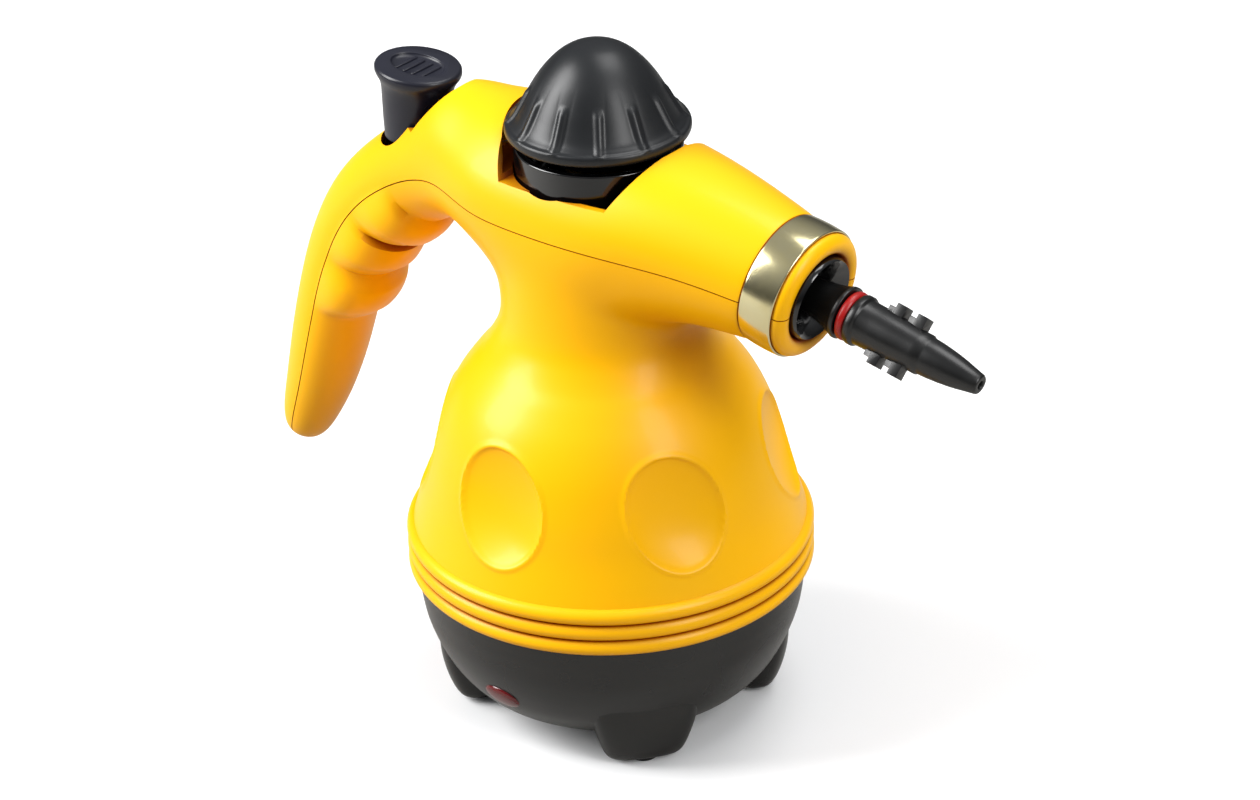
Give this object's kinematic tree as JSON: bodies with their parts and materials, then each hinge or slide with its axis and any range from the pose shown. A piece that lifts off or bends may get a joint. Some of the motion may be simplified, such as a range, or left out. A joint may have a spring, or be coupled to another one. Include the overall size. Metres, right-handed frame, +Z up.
{
  "type": "handheld steam cleaner",
  "caption": "Hand-held pressurised steam cleaner: bell-shaped boiler body with arched open handle, push-down screw safety cap, thumb steam button and bayonet nozzle.",
  "frame": {"origin": "on the surface that the four foot pads rest on, under the middle of the outline, which is also the vertical axis of the bell and the filler", "axes": "+X towards the nozzle, +Y to the object's left when its nozzle points away from the user, +Z up"},
  "size_m": [0.3049, 0.1412, 0.247],
  "materials": {
    "yellow_shell": "high-gloss injection-moulded ABS with a faint orange peel",
    "black_base": "satin black moulded polypropylene",
    "black_gloss": "polished black glass-filled nylon",
    "charcoal_cap": "satin charcoal phenolic with a soft sheen",
    "button_grey": "satin blue-grey moulded plastic",
    "chrome_trim": "polished chrome plating",
    "red_lens": "tinted translucent red acrylic",
    "red_rubber": "smooth red silicone rubber",
    "black_rubber": "matt black rubber",
    "cast_aluminium": "die-cast, lightly blasted",
    "brass": "turned brass",
    "steel": "zinc-plated steel",
    "spring_steel": "drawn stainless wire",
    "silicone": "translucent grey silicone",
    "white_nylon": "natural nylon",
    "ceramic": "steatite ceramic",
    "lamp_glass": "neon lamp envelope",
    "lead_brown": "brown silicone insulation",
    "lead_blue": "blue silicone insulation"
  },
  "bodies": {
    "housing": {"body_shell": "yellow_shell", "top_cover": "yellow_shell", "base_bowl": "black_base", "foot_pad_1": "black_rubber", "foot_pad_2": "black_rubber", "foot_pad_3": "black_rubber", "foot_pad_4": "black_rubber", "snout_ring": "chrome_trim", "nozzle_socket": "black_gloss", "nozzle": "black_gloss", "nozzle_o_ring": "red_rubber", "filler_collar": "black_gloss", "filler_neck": "brass", "filler_gasket": "silicone", "boiler_body": "cast_aluminium", "boiler_cover": "cast_aluminium", "boiler_gasket": "silicone", "boiler_screw_1": "steel", "boiler_screw_2": "steel", "boiler_screw_3": "steel", "boiler_screw_4": "steel", "boiler_cradle": "steel", "heating_element": "steel", "thermostat": "ceramic", "thermal_fuse": "white_nylon", "relief_valve_body": "brass", "relief_cap": "brass", "relief_spring": "spring_steel", "valve_body": "brass", "valve_cap": "brass", "valve_spring": "spring_steel", "lever_pin": "steel", "lever_bracket": "steel", "steam_pipe": "silicone", "button_guide": "white_nylon", "button_spring": "spring_steel", "indicator_lens": "red_lens", "indicator_lamp": "lamp_glass", "terminal_block": "white_nylon", "cord_gland": "black_rubber", "lead_live": "lead_brown", "lead_neutral": "lead_blue", "base_screw_1": "steel", "base_screw_2": "steel", "base_screw_3": "steel", "base_screw_4": "steel"},
    "steam_button": {"steam_button": "button_grey"},
    "valve_lever": {"valve_lever": "steel"},
    "valve_plunger": {"valve_plunger": "steel", "valve_seal": "silicone"},
    "relief_poppet": {"relief_poppet": "brass"},
    "cap_seal": {"cap_gasket": "silicone"},
    "cap_washer": {"cap_thrust_washer": "white_nylon"},
    "cap_plug": {"cap_plug": "black_gloss", "cap_spring": "spring_steel"},
    "cap_dome": {"cap_dome": "charcoal_cap", "cap_screw": "steel"}
  },
  "joints": [
    {"name": "button_press", "type": "slide", "parent": "housing", "child": "steam_button", "axis": [0, 0, -1], "range_m": [0, 0.005], "stiffness_N_per_m": 700, "springref_m": -0.002, "deforming": ["button_spring"]},
    {"name": "lever_turn", "type": "hinge", "parent": "housing", "child": "valve_lever", "pos_m": [-0.047, 0, 0.178], "axis": [0, -1, 0], "range_deg": [0, 9]},
    {"name": "plunger_lift", "type": "slide", "parent": "housing", "child": "valve_plunger", "axis": [0, 0, 1], "range_m": [0, 0.004], "deforming": ["valve_spring"]},
    {"name": "relief_lift", "type": "slide", "parent": "housing", "child": "relief_poppet", "axis": [0, 0, 1], "range_m": [0, 0.0015], "stiffness_N_per_m": 2500, "springref_m": -0.003, "deforming": ["relief_spring"]},
    {"name": "cap_lift_off", "type": "slide", "parent": "housing", "child": "cap_seal", "axis": [0, 0, 1], "range_m": [0, 0.05]},
    {"name": "cap_rise", "type": "slide", "parent": "cap_seal", "child": "cap_washer", "axis": [0, 0, 1], "range_m": [0, 0.0076]},
    {"name": "cap_turn", "type": "hinge", "parent": "cap_washer", "child": "cap_plug", "pos_m": [0, 0, 0.2], "axis": [0, 0, 1], "range_deg": [0, 1080]},
    {"name": "cap_press", "type": "slide", "parent": "cap_plug", "child": "cap_dome", "axis": [0, 0, -1], "range_m": [0, 0.0025], "stiffness_N_per_m": 2000, "springref_m": -0.0015, "deforming": ["cap_spring"]}
  ],
  "couplings": [
    {"joint": "lever_turn", "follows": "button_press", "rad_per_m": 30.303},
    {"joint": "plunger_lift", "follows": "button_press", "ratio": 0.75758},
    {"joint": "cap_rise", "follows": "cap_turn", "m_per_rad": 0.00039789}
  ]
}
